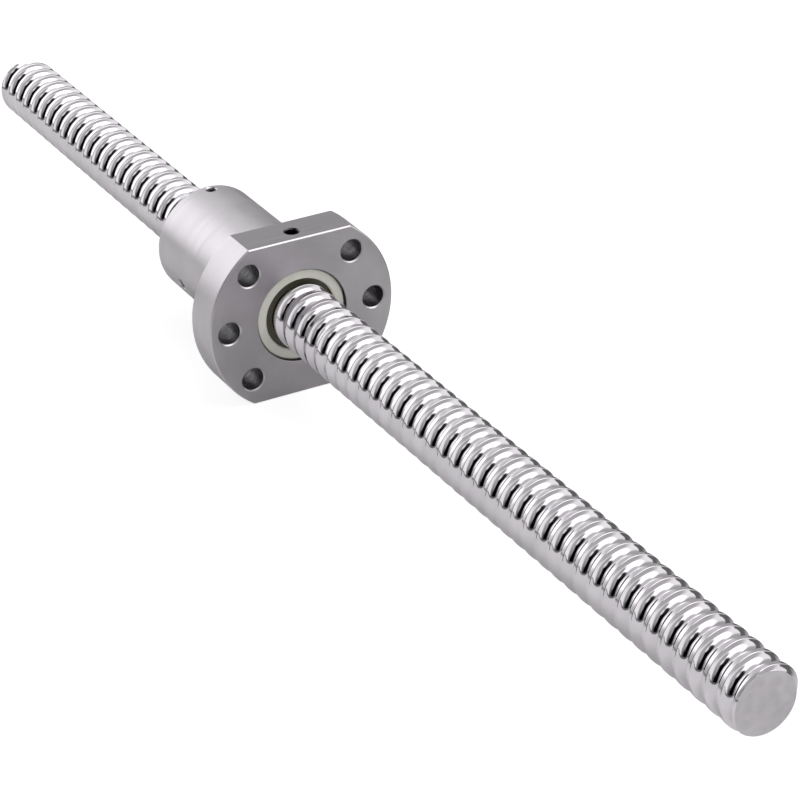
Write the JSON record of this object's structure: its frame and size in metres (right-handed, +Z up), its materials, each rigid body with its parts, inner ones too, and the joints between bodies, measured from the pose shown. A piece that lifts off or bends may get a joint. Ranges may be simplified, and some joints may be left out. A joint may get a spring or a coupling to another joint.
{
  "type": "ball screw assembly",
  "caption": "Rolled right-hand ball screw with plain-cut ends and a flanged ball nut with two flats, recirculating deflectors and plastic wipers.",
  "frame": {"origin": "on the screw's axis, in the plane of the nut flange's seat, which is the flange's face on the body side", "axes": "+X along the screw's axis, from the nut's body towards its flange; +Z up, square to the flange's flats; +Y across, through the two bolt holes on the centre line"},
  "size_m": [0.35, 0.048, 0.04],
  "materials": {
    "screw_steel": "rolled and polished bearing steel, very bright",
    "nut_steel": "ground body and rim, fine-milled faces",
    "deflector_steel": "sintered steel, matt",
    "black_steel": "black oxide",
    "ball_steel": "mirror",
    "wiper_plastic": "moulded off-white acetal"
  },
  "bodies": {
    "screw": {"screw_shaft": "screw_steel"},
    "balls": {"ball_circuit_1": "ball_steel", "ball_circuit_2": "ball_steel", "ball_circuit_3": "ball_steel", "ball_circuit_4": "ball_steel"},
    "nut": {"nut_body": "nut_steel", "front_wiper": "wiper_plastic", "rear_wiper": "wiper_plastic", "deflector_1": "deflector_steel", "deflector_2": "deflector_steel", "deflector_3": "deflector_steel", "deflector_4": "deflector_steel", "deflector_pin_1": "black_steel", "deflector_pin_2": "black_steel", "deflector_pin_3": "black_steel", "deflector_pin_4": "black_steel", "rear_wiper_grub_screw_1": "black_steel", "rear_wiper_grub_screw_2": "black_steel"}
  },
  "joints": [
    {"name": "nut_travel", "type": "slide", "parent": "screw", "child": "balls", "axis": [1, 0, 0], "range_m": [-0.11, 0.18], "deforming": ["ball_circuit_1", "ball_circuit_2", "ball_circuit_3", "ball_circuit_4"]},
    {"name": "nut_spin", "type": "hinge", "parent": "balls", "child": "nut", "pos_m": [0, 0, 0], "axis": [1, 0, 0], "range_deg": [-7920, 12960]}
  ],
  "couplings": [
    {"joint": "nut_travel", "follows": "nut_spin", "m_per_rad": 0.00079577}
  ]
}
